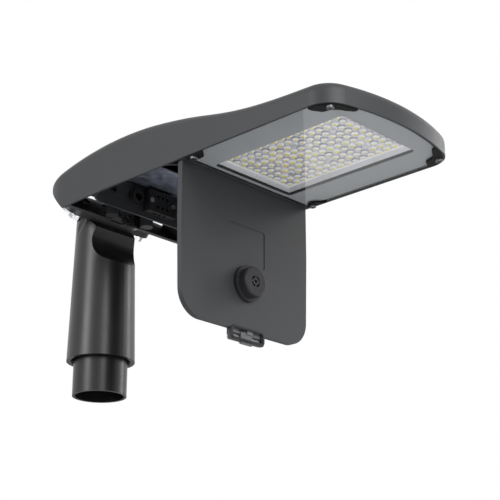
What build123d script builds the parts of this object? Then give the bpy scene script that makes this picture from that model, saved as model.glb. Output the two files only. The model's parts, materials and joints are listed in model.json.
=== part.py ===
from build123d import *
import math
import os

# LED street light on the top of a pole, seen with its gear door hanging open.
# Millimetres, +Z up. The origin is on the pole's axis at the lower end of the pole stub,
# and +X points along the luminaire towards its nose. Heights inside the luminaire are
# measured from the glass, which lies level at glass_height.

os.makedirs("parts", exist_ok=True)

# Radial play of screws and plugs in their holes
thread_fit = 0.02

# Pole and adaptor
glass_height = 188.0
pole_radius = 30.0
pole_wall = 3.0
pole_top = -66.0
mouth_height = -149.0
mouth_radius = 33.4
mouth_chamfer_height = 3.0
bore_radius = 31.6
foot_radius = 38.0
head_radius = 33.0
head_height = 36.0
head_round = 7.0
duct_radius = 26.0
duct_top = 26.0
duct_front = 10.5
duct_full_top = -46.0
scoop_radius = 26.0
scoop_x = 40.0
scoop_height = -15.0
grip_rib_width = 6.0
grip_rib_height = 44.0
grip_rib_angle = 45.0
set_screw_radius = 4.0
set_screw_length = 12.0
set_screw_heights = (-86.0, -128.0)
set_screw_boss = 8.0
set_screw_boss_reach = 4.5

# Joint between adaptor and housing, a plane that slopes at 45 degrees
seat_x = 15.0
seat_height = 14.0
flange_length = 36.0
flange_width = 124.0
flange_thickness = 7.0
flange_round = 16.0
bolt_spread = 46.0
bolt_edge = 9.0
bolt_radius = 4.0
bolt_boss_radius = 7.0
bolt_hole_radius = 4.5
bolt_length = 18.0
bolt_head_flats = 13.0
bolt_head_height = 5.3
washer_radius = 8.0
washer_thickness = 1.6
wrench_radius = 14.0
cable_hole_radius = 13.0
cable_hole_up = 18.0

# Housing
half_width = 95.5
rear_half_width = 91.5
taper_start = 110.0
nose_x = 432.5
nose_radius = 270.0
nose_corner = 28.0
rear_x = -16.0
rear_corner = 52.0
side_wall = 2.4
roof_wall = 3.2
top_round = 9.0
tail_gap = 4.6
tail_round = 5.0
end_wall = 4.0
end_wall_foot = 7.0
crest_reach = 100.0
# Along the luminaire: station, height of the roof at its sides, height along its middle
crest = (
    (-60.0, 21.5, 37.5),
    (-20.0, 29.0, 43.0),
    (20.0, 38.8, 51.0),
    (60.0, 47.5, 57.5),
    (100.0, 52.0, 60.5),
    (140.0, 53.0, 61.5),
    (180.0, 50.6, 58.6),
    (215.0, 45.7, 53.2),
    (250.0, 39.0, 46.0),
    (285.0, 31.6, 37.6),
    (320.0, 26.6, 31.6),
    (355.0, 24.0, 28.0),
    (390.0, 22.6, 26.1),
    (430.0, 19.8, 23.3),
    (470.0, 16.5, 20.0),
)

# Gear compartment and its door
rim_rear = 68.5
rim_front = 208.5
rim_wall = 2.5
rim_half = 89.6
rim_rear_half = 87.0
rim_taper_start = 159.5
rim_corner = 24.0
rim_foot = 4.5
groove_top = 9.0
shelf_top = 12.0
door_face = 225.5
door_top = -0.1
door_foot = -158.8
door_half = 92.4
door_foot_half = 89.6
door_taper_start = -60.0
door_corner = 28.0
door_plate = 2.5
door_depth = 6.0
door_return = 2.0
door_return_top = -1.2
door_gasket_thickness = 1.8
door_panel_half = 27.0
door_panel_top = -47.0
door_panel_foot = -88.0
hinge_x = 222.5
hinge_height = 3.0
hinge_pin_radius = 1.5
hinge_pin_length = 21.0
hinge_pin_fit = 0.02
knuckle_radius = 3.5
knuckle_fit = 0.06
knuckle_width = 8.0
knuckle_middle = 81.0
knuckle_gap = 0.6
crossbar_rear = 220.0
crossbar_front = 228.0
crossbar_relief = 1.9

# Optical chamber
glass_recess = 0.4
glass_thickness = 4.0
glass_gap = 1.4
glass_corner = 3.0
gasket_flange = 5.0
gasket_thickness = 2.0
window_inset = 10.0
mask_thickness = 1.5
mask_low_x = 234.5
mask_high_x = 402.0
mask_half = 56.0
well_wall = 1.2
well_ring = 1.5
led_pitch = 10.0
led_rows = 5
module_columns = 3
module_rows = 2
array_low_x = 240.0
board_height = 15.0
board_thickness = 1.6
floor_thickness = 5.0
lens_plate = 2.4
lens_height = 2.6
lens_foot_radius = 4.4
lens_top_radius = 2.9
chip_size = 3.0
chip_height = 0.7
lens_edge_gap = 0.2
lens_rim = 1.8
lens_pocket = 0.9
lens_pillar = 3.4
module_screw_radius = 1.4
module_screw_head = 2.6
module_screw_head_height = 1.8
module_screw_depth = 5.4
fin_low_x = 242.0
fin_high_x = 396.0
fin_half = 63.0
fin_count = 12
fin_thickness = 2.4

# Clips that hold the glass
clip_thickness = 1.8
clip_top = 0.4
clip_edge = 2.6
nose_screw_x = 410.0
nose_screw_half = 83.0
rear_screw_x = 238.5
rear_screw_half = 89.0
clip_boss_radius = 4.6
clip_notch_gap = 0.9
clip_screw_radius = 2.0
clip_screw_head = 4.0
clip_screw_head_height = 2.2
clip_screw_length = 12.0
clip_socket_flats = 2.5

# Latch and keeper
latch_middle = 1.5
latch_half = 23.3
latch_bar = 2.5
latch_depth = 5.0
latch_drop = 11.0
latch_window_rise = 3.0
slide_thickness = 2.4
slide_face = 222.7
slide_foot = -162.2
slide_top = -152.6
slide_tip_half = 8.0
slide_tip_face = 224.0
slide_tip_drop = 2.4
slide_gap = 0.3
latch_skin = 1.0
latch_top = -153.2
rail_foot = -165.0
rail_depth = 6.6
rail_lip = 1.1
rail_reach = 2.0
thumb_half = 4.0
thumb_offset = 4.0
thumb_foot = -161.6
thumb_top = -156.6
thumb_depth = 2.4
keeper_x = 38.0
keeper_thickness = 1.5
keeper_half = 9.0
keeper_top = 22.0
keeper_lip = 8.3
keeper_foot = -0.3
keeper_screw_radius = 1.7
notch_half = 19.0
notch_rear = 14.0
notch_front = 66.0
cheek_middle = 26.0
cheek_width = 14.0
cheek_depth = 15.0
cheek_foot = 8.0
cheek_x = 41.0

# Sensor socket
socket_height = -109.0
socket_base_radius = 19.0
socket_base_thickness = 3.0
socket_cap_radius = 15.5
socket_cap_height = 9.0
socket_stem_radius = 10.0
socket_stem_length = 8.0
socket_slot_radius = 5.0
socket_slot_width = 1.8
socket_contact_radius = 1.2
socket_contact_length = 4.0
socket_gasket_thickness = 1.0
socket_nut_radius = 14.5
socket_nut_thickness = 4.0

# Driver and its tray
driver_half = 57.0
driver_foot = -133.0
driver_length = 84.0
driver_rear = 188.0
driver_depth = 22.5
driver_round = 3.0
tray_thickness = 1.5
tray_side = 9.0
tray_end = 1.5
tray_post_radius = 5.0
tray_screw_radius = 2.0
tray_screw_length = 10.0
driver_screw_inset = 6.0

# Terminal block, surge arrester and plate in the compartment
plate_height = 40.0
plate_thickness = 1.5
plate_low_x = 73.0
plate_high_x = 126.0
plate_half = 76.0
plate_post_radius = 4.5
plate_post_x = (81.0, 118.0)
plate_post_half = 64.0
plate_screw_radius = 2.0
plate_screw_length = 10.0
plate_screw_head = 3.4
terminal_depth = 10.0
terminal_low_y = -6.0
terminal_high_y = 34.0
terminal_foot = 10.0
terminal_height = 26.0
terminal_screw_radius = 1.6
terminal_pitch = 7.0
terminal_ways = 3
arrester_low_y = 69.0
arrester_high_y = 85.0
arrester_low_x = 86.0
arrester_high_x = 122.0
arrester_foot = 14.0
gland_y = -18.0
gland_height = 24.0
gland_radius = 8.0
gland_nut_radius = 10.5
breather_y = -50.0
breather_radius = 4.0


def level(height):
    """A level plane at a height above the glass."""
    return Plane.XY.offset(glass_height + height)


def side(distance):
    """The upright plane through a line parallel to X, facing -Y; its y is the height."""
    return Plane(origin=(0, distance, glass_height), x_dir=(1, 0, 0), z_dir=(0, -1, 0))


def across(station):
    """The upright plane across the luminaire at a station, facing +X."""
    return Plane(origin=(station, 0, glass_height), x_dir=(0, 1, 0), z_dir=(1, 0, 0))


seat = Plane(origin=(seat_x, 0, glass_height + seat_height), x_dir=(-1, 0, 1), z_dir=(1, 0, 1))
bolt_places = [(bolt_edge, -bolt_spread), (bolt_edge, bolt_spread)]
bolt_places += [(flange_length - bolt_edge, -bolt_spread), (flange_length - bolt_edge, bolt_spread)]
clip_screws = [(nose_screw_x, -nose_screw_half), (nose_screw_x, nose_screw_half)]
clip_screws += [(rear_screw_x, -rear_screw_half), (rear_screw_x, rear_screw_half)]
keeper_screws_at = [(keeper_x - 4.5, -5), (keeper_x - 4.5, 5)]
terminal_screw_y = (terminal_low_y + 4, terminal_high_y - 4)
module_size = led_pitch * led_rows
module_places = [
    (array_low_x + module_size * (column + 0.5), module_size * (row - 0.5))
    for column in range(module_columns)
    for row in range(module_rows)
]
lens_places = [
    (led_pitch * column, led_pitch * row)
    for column in range(-(led_rows // 2), led_rows // 2 + 1)
    for row in range(-(led_rows // 2), led_rows // 2 + 1)
    if column or row
]
glass_top = glass_recess + glass_thickness
gasket_top = glass_top + gasket_thickness
window_rear = crossbar_front + 5
closed_shift = hinge_x - hinge_height
latch_foot = door_foot - latch_drop
latch_window_top = door_foot + latch_window_rise
tray_front = driver_rear + driver_depth + tray_thickness
driver_middle = driver_foot + driver_length / 2
driver_screw_half = driver_half - driver_screw_inset
driver_screw_rise = driver_length / 2 - driver_screw_inset
tray_post_half = driver_half + tray_side / 2
driver_screws_at = [
    (driver_middle + rise * driver_screw_rise, hand * driver_screw_half)
    for rise in (-1, 1)
    for hand in (-1, 1)
]
tray_posts = [
    (driver_middle + rise * driver_screw_rise, hand * tray_post_half)
    for rise in (-1, 1)
    for hand in (-1, 1)
]


def roof_at(station, distance):
    """Height of the roof's outside at a station and a distance from the middle."""
    for (low, edge_low, middle_low), (high, edge_high, middle_high) in zip(crest, crest[1:]):
        if low <= station <= high:
            share = (station - low) / (high - low)
            edge = edge_low + share * (edge_high - edge_low)
            middle = middle_low + share * (middle_high - middle_low)
            return middle - (middle - edge) * (distance / crest_reach) ** 2
    raise ValueError("the station lies outside the crest")


def plan_zone(height, inset, low_x, high_x, corner=0.0):
    """The luminaire's outline in plan, drawn in by an inset and cut to a stretch of X."""
    with BuildSketch(level(height)) as zone:
        with BuildLine():
            Polyline(
                (rear_x, -rear_half_width),
                (taper_start, -half_width),
                (nose_x + nose_corner, -half_width),
                (nose_x + nose_corner, half_width),
                (taper_start, half_width),
                (rear_x, rear_half_width),
                close=True,
            )
        make_face()
        with Locations((nose_x - nose_radius, 0)):
            Circle(nose_radius, mode=Mode.INTERSECT)
        ends = zone.vertices().group_by(Axis.X)
        fillet(ends[-1], nose_corner)
        fillet(zone.vertices().group_by(Axis.X)[0], rear_corner)
        if inset > 0:
            offset(amount=-inset)
        with Locations(((low_x + high_x) / 2, 0)):
            Rectangle(high_x - low_x, 4 * half_width, mode=Mode.INTERSECT)
        if corner > 0:
            fillet(zone.vertices().group_by(Axis.X)[0], corner)
    return zone.sketch


def hanging(depth):
    """An upright plane at a depth behind the open door's face; its x is the height."""
    return Plane(origin=(door_face - depth, 0, glass_height), x_dir=(0, 0, 1), z_dir=(-1, 0, 0))


def door_zone(depth, inset):
    """The open door's outline at a depth behind its face, drawn in by an inset."""
    with BuildSketch(hanging(depth)) as zone:
        with BuildLine():
            Polyline(
                (door_foot, -door_foot_half),
                (door_taper_start, -door_half),
                (door_top, -door_half),
                (door_top, door_half),
                (door_taper_start, door_half),
                (door_foot, door_foot_half),
                close=True,
            )
        make_face()
        fillet(zone.vertices().group_by(Axis.X)[0], door_corner)
        if inset != 0:
            offset(amount=-inset)
    return zone.sketch


def rim_zone(plane, shift, inset):
    """The outline of the compartment's rim on a plane, shifted back and drawn in."""
    with BuildSketch(plane) as zone:
        with BuildLine():
            Polyline(
                (rim_rear - shift, -rim_rear_half),
                (rim_taper_start - shift, -rim_half),
                (rim_front - shift, -rim_half),
                (rim_front - shift, rim_half),
                (rim_taper_start - shift, rim_half),
                (rim_rear - shift, rim_rear_half),
                close=True,
            )
        make_face()
        corners = zone.vertices().group_by(Axis.X)
        fillet(corners[0] + corners[-1], rim_corner)
        if inset != 0:
            offset(amount=-inset)
    return zone.sketch


def rounded_zone(height, low_x, high_x, half, corner):
    """A rounded rectangle in plan, centred on the luminaire's middle."""
    with BuildSketch(level(height)) as zone:
        with Locations(((low_x + high_x) / 2, 0)):
            RectangleRounded(high_x - low_x, 2 * half, corner)
    return zone.sketch


def crest_solid(drop):
    """The block under the roof's wave, lowered by a drop."""
    with BuildPart() as block:
        for station, edge, middle in crest:
            with BuildSketch(across(station)):
                with BuildLine():
                    ThreePointArc(
                        (-crest_reach, edge - drop),
                        (0, middle - drop),
                        (crest_reach, edge - drop),
                    )
                    Polyline(
                        (crest_reach, edge - drop),
                        (crest_reach, -5),
                        (-crest_reach, -5),
                        (-crest_reach, edge - drop),
                    )
                make_face()
        loft()
    return block.part


# Housing: one casting with the gear compartment, the tail and the optical chamber

with BuildPart() as tail_hollow:
    add(crest_solid(roof_wall))
    extrude(plan_zone(-1, side_wall, rear_x - 10, rim_rear), amount=80, mode=Mode.INTERSECT)
    split(bisect_by=seat.offset(tail_gap + end_wall), keep=Keep.TOP)

with BuildPart() as gear_hollow:
    add(crest_solid(roof_wall))
    gear_rear = rim_rear + rim_wall
    gear_front = rim_front - rim_wall
    gear_plan = rounded_zone(shelf_top, gear_rear, gear_front, half_width - roof_wall, rim_corner)
    extrude(gear_plan, amount=70, mode=Mode.INTERSECT)

with BuildPart() as fore_hollow:
    add(crest_solid(roof_wall))
    fore_floor = board_height + board_thickness + floor_thickness
    fore_rear = rim_front - 2 * rim_wall
    fore_plan = rounded_zone(fore_floor, fore_rear, fin_low_x - 2 * roof_wall, half_width - 4 * roof_wall, 2)
    extrude(fore_plan, amount=60, mode=Mode.INTERSECT)

with BuildPart() as housing:
    add(crest_solid(0))
    extrude(plan_zone(0, 0, rear_x - 10, nose_x + 10), amount=90, mode=Mode.INTERSECT)
    split(bisect_by=seat.offset(tail_gap), keep=Keep.TOP)
    roof = housing.faces().filter_by(GeomType.PLANE, reverse=True).sort_by(SortBy.AREA)[-1]
    fillet(roof.edges(), top_round)
    # hollows under the roof
    add(tail_hollow.part, mode=Mode.SUBTRACT)
    add(gear_hollow.part, mode=Mode.SUBTRACT)
    add(fore_hollow.part, mode=Mode.SUBTRACT)
    # recess that takes the closed door, and the groove for its return wall
    extrude(plan_zone(-1, side_wall, rim_rear - 12, crossbar_rear), amount=1 + rim_foot, mode=Mode.SUBTRACT)
    groove = plan_zone(0, side_wall, rim_rear - 3, crossbar_rear) - rim_zone(level(0), 0, 0)
    extrude(groove, amount=groove_top, mode=Mode.SUBTRACT)
    extrude(rim_zone(level(0), 0, rim_wall), amount=shelf_top, mode=Mode.SUBTRACT)
    # relief on the crossbar's rear edge, past which the swinging door turns
    with BuildSketch(side(half_width - side_wall)):
        Polygon(
            (crossbar_rear - 1, -1),
            (crossbar_rear + crossbar_relief, -1),
            (crossbar_rear + crossbar_relief, 0),
            (crossbar_rear, crossbar_relief),
            (crossbar_rear - 1, crossbar_relief),
            align=None,
        )
    extrude(amount=2 * (half_width - side_wall), mode=Mode.SUBTRACT)
    # foot of the tail's end wall, with the notch for the latch between two cheeks
    extrude(plan_zone(-1, side_wall, rear_x, rim_rear - 2), amount=1 + end_wall_foot, mode=Mode.SUBTRACT)
    with BuildSketch(level(cheek_foot)):
        with Locations((cheek_x, -cheek_middle), (cheek_x, cheek_middle)):
            RectangleRounded(cheek_depth, cheek_width, cheek_width / 2 - 0.1)
    extrude(amount=roof_at(cheek_x, cheek_middle) - roof_wall / 2 - cheek_foot)
    with BuildSketch(level(-1)):
        with Locations(((notch_rear + notch_front) / 2, 0)):
            Rectangle(notch_front - notch_rear, 2 * notch_half)
    extrude(amount=1 + keeper_top, mode=Mode.SUBTRACT)
    # raised seat for the adaptor and the bosses of its bolts
    with BuildSketch(seat):
        with Locations((flange_length / 2, 0)):
            RectangleRounded(flange_length - 6, flange_width - 8, flange_round - 4)
    extrude(amount=tail_gap + end_wall / 2)
    with BuildSketch(seat):
        with Locations(bolt_places):
            Circle(bolt_boss_radius)
    extrude(amount=bolt_length - flange_thickness)
    with BuildSketch(seat):
        with Locations(bolt_places):
            Circle(bolt_radius + thread_fit)
    extrude(amount=bolt_length - flange_thickness - washer_thickness + 0.6, mode=Mode.SUBTRACT)
    with BuildSketch(seat):
        with Locations((cable_hole_up, 0)):
            Circle(cable_hole_radius)
    extrude(amount=tail_gap + end_wall + 8, mode=Mode.SUBTRACT)
    # block from which the keeper hangs, above the notch
    with BuildSketch(level(keeper_top)):
        with Locations((keeper_x, 0)):
            RectangleRounded(18, 2 * keeper_half + 4, 3)
    extrude(amount=roof_at(keeper_x, 0) - roof_wall / 2 - keeper_top)
    # glass seat, window and floor of the optical chamber
    glass_zone = plan_zone(-1, side_wall, crossbar_front, nose_x + 10)
    extrude(glass_zone, amount=1 + gasket_top, mode=Mode.SUBTRACT)
    window_zone = plan_zone(0, window_inset, window_rear, nose_x + 10)
    extrude(window_zone, amount=board_height + board_thickness, mode=Mode.SUBTRACT)
    with BuildSketch(level(clip_top)):
        with Locations(clip_screws):
            Circle(clip_boss_radius)
    extrude(amount=board_height)
    with BuildSketch(level(0)):
        with Locations(clip_screws):
            Circle(clip_screw_radius + thread_fit)
    extrude(amount=clip_screw_length - clip_thickness + 1, mode=Mode.SUBTRACT)
    with BuildSketch(level(board_height)):
        with Locations(module_places):
            Circle(module_screw_radius + thread_fit)
    extrude(amount=module_screw_depth, mode=Mode.SUBTRACT)
    # cooling fins, sunk between the hump and the nose
    fin_pitch = 2 * fin_half / fin_count
    with BuildSketch(level(board_height + board_thickness + floor_thickness)):
        with Locations(((fin_low_x + fin_high_x) / 2, 0)):
            with GridLocations(1, fin_pitch, 1, fin_count):
                Rectangle(fin_high_x - fin_low_x, fin_pitch - fin_thickness)
    extrude(amount=60, mode=Mode.SUBTRACT)
    # posts for the mounting plate
    for post_x in plate_post_x:
        with BuildSketch(level(plate_height + plate_thickness)):
            with Locations((post_x, -plate_post_half), (post_x, plate_post_half)):
                Circle(plate_post_radius)
                Circle(plate_screw_radius + thread_fit, mode=Mode.SUBTRACT)
        post_top = roof_at(post_x, plate_post_half) - roof_wall / 2
        extrude(amount=post_top - plate_height - plate_thickness)
    # hinge: notches for the door's knuckles and the bores of the pins
    for hand in (-1, 1):
        with BuildSketch(side(hand * knuckle_middle + knuckle_width / 2 + knuckle_gap)):
            with Locations((hinge_x, hinge_height)):
                Circle(knuckle_radius + knuckle_gap)
                with Locations((-knuckle_radius, 0)):
                    Rectangle(2 * knuckle_radius, 2 * (knuckle_radius + knuckle_gap))
            with Locations((hinge_x - knuckle_radius / 2, -2)):
                Rectangle(3 * knuckle_radius, 10)
        extrude(amount=knuckle_width + 2 * knuckle_gap, mode=Mode.SUBTRACT)
        with BuildSketch(side(hand * knuckle_middle + hinge_pin_length / 2)):
            with Locations((hinge_x, hinge_height)):
                Circle(hinge_pin_radius + hinge_pin_fit)
        extrude(amount=hinge_pin_length, mode=Mode.SUBTRACT)
    # cable entry in the wall between tail and compartment
    with BuildSketch(across(rim_rear - 1)):
        with Locations((gland_y, gland_height)):
            Circle(gland_radius + thread_fit)
        with Locations((breather_y, gland_height)):
            Circle(breather_radius + thread_fit)
        with Locations([(y, terminal_foot + terminal_height / 2) for y in terminal_screw_y]):
            Circle(terminal_screw_radius + thread_fit)
    extrude(amount=rim_wall + 2, mode=Mode.SUBTRACT)
    # holes for the keeper's screws
    with BuildSketch(level(keeper_top)):
        with Locations(keeper_screws_at):
            Circle(keeper_screw_radius + thread_fit)
    extrude(amount=9, mode=Mode.SUBTRACT)
housing.part.label = "housing"
export_step(housing.part, "parts/housing.step")

# Pole stub, the end of the pole that the luminaire is clamped on

with BuildPart() as pole_stub:
    with BuildSketch(level(-glass_height)):
        Circle(pole_radius)
        Circle(pole_radius - pole_wall, mode=Mode.SUBTRACT)
    extrude(amount=glass_height + pole_top)
pole_stub.part.label = "pole_stub"
export_step(pole_stub.part, "parts/pole_stub.step")

# Pole adaptor: tapered spigot with a sloping flange

with BuildPart() as adaptor_bore:
    with BuildSketch(level(mouth_height)):
        Circle(mouth_radius)
    mouth_taper = math.degrees(math.atan((mouth_radius - bore_radius) / mouth_chamfer_height))
    extrude(amount=mouth_chamfer_height, taper=mouth_taper)
    with BuildSketch(level(mouth_height)):
        Circle(bore_radius)
    extrude(amount=pole_top - mouth_height)
    with BuildSketch(level(pole_top)):
        Circle(duct_radius)
    extrude(amount=duct_top - pole_top)
    with BuildSketch(level(duct_full_top)):
        with Locations((duct_front + duct_radius, 0)):
            Rectangle(2 * duct_radius, 4 * duct_radius)
    extrude(amount=2 * duct_top - duct_full_top, mode=Mode.SUBTRACT)
    split(bisect_by=seat.offset(-flange_thickness), keep=Keep.BOTTOM)

with BuildPart() as pole_adaptor:
    with BuildSketch(side(0)) as spigot:
        with BuildLine():
            Polyline(
                (0, mouth_height),
                (foot_radius, mouth_height),
                (head_radius, head_height),
                (0, head_height),
                close=True,
            )
        make_face()
        fillet(spigot.vertices().group_by(Axis.Y)[-1].sort_by(Axis.X)[-1], head_round)
    revolve(axis=Axis.Z)
    with BuildSketch(across(-foot_radius - set_screw_boss_reach)):
        with Locations([(0, height) for height in set_screw_heights]):
            Circle(set_screw_boss)
    extrude(amount=2 * set_screw_boss_reach)
    split(bisect_by=seat.offset(-flange_thickness), keep=Keep.BOTTOM)
    with BuildSketch(side(2 * scoop_radius)):
        with Locations((scoop_x, scoop_height)):
            Circle(scoop_radius)
    extrude(amount=4 * scoop_radius, mode=Mode.SUBTRACT)
    with BuildSketch(seat.offset(-flange_thickness)):
        with Locations(bolt_places[:2]):
            Circle(wrench_radius)
    extrude(amount=-2 * wrench_radius, mode=Mode.SUBTRACT)
    with BuildSketch(seat):
        with Locations((flange_length / 2, 0)):
            RectangleRounded(flange_length, flange_width, flange_round)
    extrude(amount=-flange_thickness)
    add(adaptor_bore.part, mode=Mode.SUBTRACT)
    with BuildSketch(seat):
        with Locations((cable_hole_up, 0)):
            Circle(cable_hole_radius)
    extrude(amount=-2 * flange_thickness, mode=Mode.SUBTRACT)
    with BuildSketch(seat):
        with Locations(bolt_places):
            Circle(bolt_hole_radius)
    extrude(amount=-flange_thickness, mode=Mode.SUBTRACT)
    with BuildSketch(level(pole_top - grip_rib_height)):
        with PolarLocations(pole_radius + 2, 2, -grip_rib_angle, 4 * grip_rib_angle):
            Rectangle(4, grip_rib_width)
    extrude(amount=grip_rib_height)
    with BuildSketch(across(-foot_radius - 2 * set_screw_boss_reach)):
        with Locations([(0, height) for height in set_screw_heights]):
            Circle(set_screw_radius + thread_fit)
    extrude(amount=foot_radius + 2 * set_screw_boss_reach - pole_radius, mode=Mode.SUBTRACT)
pole_adaptor.part.label = "pole_adaptor"
export_step(pole_adaptor.part, "parts/pole_adaptor.step")

with BuildPart() as adaptor_washers:
    with BuildSketch(seat.offset(-flange_thickness)):
        with Locations(bolt_places):
            Circle(washer_radius)
            Circle(bolt_radius + 0.3, mode=Mode.SUBTRACT)
    extrude(amount=-washer_thickness)
adaptor_washers.part.label = "adaptor_washers"
export_step(adaptor_washers.part, "parts/adaptor_washers.step")

with BuildPart() as adaptor_bolts:
    with BuildSketch(seat.offset(-flange_thickness - washer_thickness)):
        with Locations(bolt_places):
            Circle(bolt_radius)
    extrude(amount=bolt_length)
    with BuildSketch(seat.offset(-flange_thickness - washer_thickness)):
        with Locations(bolt_places):
            RegularPolygon(bolt_head_flats / 2, 6, major_radius=False)
    extrude(amount=-bolt_head_height)
adaptor_bolts.part.label = "adaptor_bolts"
export_step(adaptor_bolts.part, "parts/adaptor_bolts.step")

with BuildPart() as set_screws:
    with BuildSketch(across(-pole_radius - set_screw_length)):
        with Locations([(0, height) for height in set_screw_heights]):
            Circle(set_screw_radius)
            RegularPolygon(set_screw_radius / 2, 6, major_radius=False, mode=Mode.SUBTRACT)
    extrude(amount=set_screw_radius)
    with BuildSketch(across(-pole_radius)):
        with Locations([(0, height) for height in set_screw_heights]):
            Circle(set_screw_radius)
    extrude(amount=set_screw_radius - set_screw_length)
set_screws.part.label = "set_screws"
export_step(set_screws.part, "parts/set_screws.step")

# Glass, its gasket and the clips that hold it

with BuildPart() as glass:
    glass_rear = crossbar_front + glass_gap
    glass_plan = plan_zone(glass_recess, side_wall + glass_gap, glass_rear, nose_x + 10, glass_corner)
    extrude(glass_plan, amount=glass_thickness)
    with BuildSketch(level(glass_recess)):
        with Locations(clip_screws):
            Circle(clip_boss_radius + clip_notch_gap)
    extrude(amount=glass_thickness, mode=Mode.SUBTRACT)
glass.part.label = "glass"
export_step(glass.part, "parts/glass.step")

with BuildPart() as glass_gasket:
    extrude(plan_zone(glass_top, side_wall, crossbar_front, nose_x + 10), amount=gasket_thickness)
    inner_inset = side_wall + glass_gap + gasket_flange
    inner_rear = crossbar_front + glass_gap + gasket_flange
    inner_plan = plan_zone(glass_top, inner_inset, inner_rear, nose_x + 10, glass_corner)
    extrude(inner_plan, amount=gasket_thickness, mode=Mode.SUBTRACT)
    # the flange widens round the bosses of the clip screws
    with BuildSketch(level(glass_top)):
        with Locations(clip_screws):
            Circle(clip_boss_radius + clip_notch_gap + gasket_thickness)
    extrude(amount=gasket_thickness)
    outer_plan = plan_zone(glass_top, side_wall, crossbar_front, nose_x + 10)
    extrude(outer_plan, amount=gasket_thickness, mode=Mode.INTERSECT)
    lip_foot = 2 * glass_recess
    lip_plan = plan_zone(lip_foot, side_wall, crossbar_front, nose_x + 10)
    lip_plan -= plan_zone(lip_foot, side_wall + glass_gap, glass_rear, nose_x + 10, glass_corner)
    extrude(lip_plan, amount=glass_thickness - glass_recess)
    with BuildSketch(level(0)):
        with Locations(clip_screws):
            Circle(clip_boss_radius + clip_notch_gap)
    extrude(amount=gasket_top, mode=Mode.SUBTRACT)
glass_gasket.part.label = "glass_gasket"
export_step(glass_gasket.part, "parts/glass_gasket.step")

with BuildPart() as nose_clips:
    for hand in (-1, 1):
        with BuildSketch(level(clip_top)) as corner:
            with BuildLine():
                Polyline(
                    (nose_x + 8, hand * 100),
                    (nose_x - 42, hand * 100),
                    (nose_x - 40, hand * 88),
                    (nose_x - 35, hand * 79),
                    (nose_x - 26, hand * 77),
                    (nose_x - 21, hand * 72),
                    (nose_x - 18, hand * 66),
                    (nose_x - 13, hand * 59),
                    (nose_x + 8, hand * 59),
                    close=True,
                )
            make_face()
            fillet(corner.vertices().sort_by_distance((nose_x - 35, hand * 79))[0], 4)
            fillet(corner.vertices().sort_by_distance((nose_x - 13, hand * 59))[0], 4)
            fillet(corner.vertices().sort_by_distance((nose_x - 21, hand * 72))[0], 6)
        extrude(amount=-clip_thickness)
    clip_zone = plan_zone(clip_top, clip_edge, nose_x - 60, nose_x + 10)
    extrude(clip_zone, amount=-clip_thickness, mode=Mode.INTERSECT)
    with BuildSketch(level(clip_top)):
        with Locations(clip_screws[:2]):
            Circle(clip_screw_radius + 0.2)
    extrude(amount=-clip_thickness, mode=Mode.SUBTRACT)
nose_clips.part.label = "nose_clips"
export_step(nose_clips.part, "parts/nose_clips.step")

with BuildPart() as rear_clips:
    for hand in (-1, 1):
        with BuildSketch(level(clip_top)) as wedge:
            with BuildLine():
                Polyline(
                    (rear_screw_x - 8, hand * (half_width - clip_edge)),
                    (rear_screw_x - 7, hand * (rear_screw_half - 1)),
                    (rear_screw_x - 1, hand * (rear_screw_half - 6)),
                    (rear_screw_x + 8, hand * (rear_screw_half - 6)),
                    (rear_screw_x + 17, hand * (half_width - clip_edge)),
                    close=True,
                )
            make_face()
            fillet(wedge.vertices().sort_by_distance((rear_screw_x - 1, hand * (rear_screw_half - 6)))[0], 3)
            fillet(wedge.vertices().sort_by_distance((rear_screw_x + 8, hand * (rear_screw_half - 6)))[0], 3)
        extrude(amount=-clip_thickness)
    with BuildSketch(level(clip_top)):
        with Locations(clip_screws[2:]):
            Circle(clip_screw_radius + 0.2)
    extrude(amount=-clip_thickness, mode=Mode.SUBTRACT)
rear_clips.part.label = "rear_clips"
export_step(rear_clips.part, "parts/rear_clips.step")

with BuildPart() as clip_screws_part:
    with BuildSketch(level(clip_top - clip_thickness)):
        with Locations(clip_screws):
            Circle(clip_screw_radius)
    extrude(amount=clip_screw_length)
    with BuildSketch(level(clip_top - clip_thickness)):
        with Locations(clip_screws):
            Circle(clip_screw_head)
            RegularPolygon(clip_socket_flats / 2, 6, major_radius=False, mode=Mode.SUBTRACT)
    extrude(amount=-clip_screw_head_height)
    domes = clip_screws_part.faces().filter_by(Plane.XY).group_by(Axis.Z)[0]
    rims = domes.edges().filter_by(GeomType.CIRCLE)
    fillet(rims, clip_screw_head_height / 2)
clip_screws_part.part.label = "clip_screws"
export_step(clip_screws_part.part, "parts/clip_screws.step")

# Optical chamber: mask, reflector frame, board, light-emitting chips and lens modules

with BuildPart() as mask:
    mask_plan = plan_zone(gasket_top, window_inset + 0.2, window_rear + 0.2, nose_x + 10)
    extrude(mask_plan, amount=mask_thickness)
    with BuildSketch(level(gasket_top)):
        with Locations(((mask_low_x + mask_high_x) / 2, 0)):
            Rectangle(mask_high_x - mask_low_x, 2 * mask_half)
        with Locations(clip_screws):
            Circle(clip_boss_radius + clip_notch_gap)
    extrude(amount=mask_thickness, mode=Mode.SUBTRACT)
mask.part.label = "mask"
export_step(mask.part, "parts/mask.step")

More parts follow.
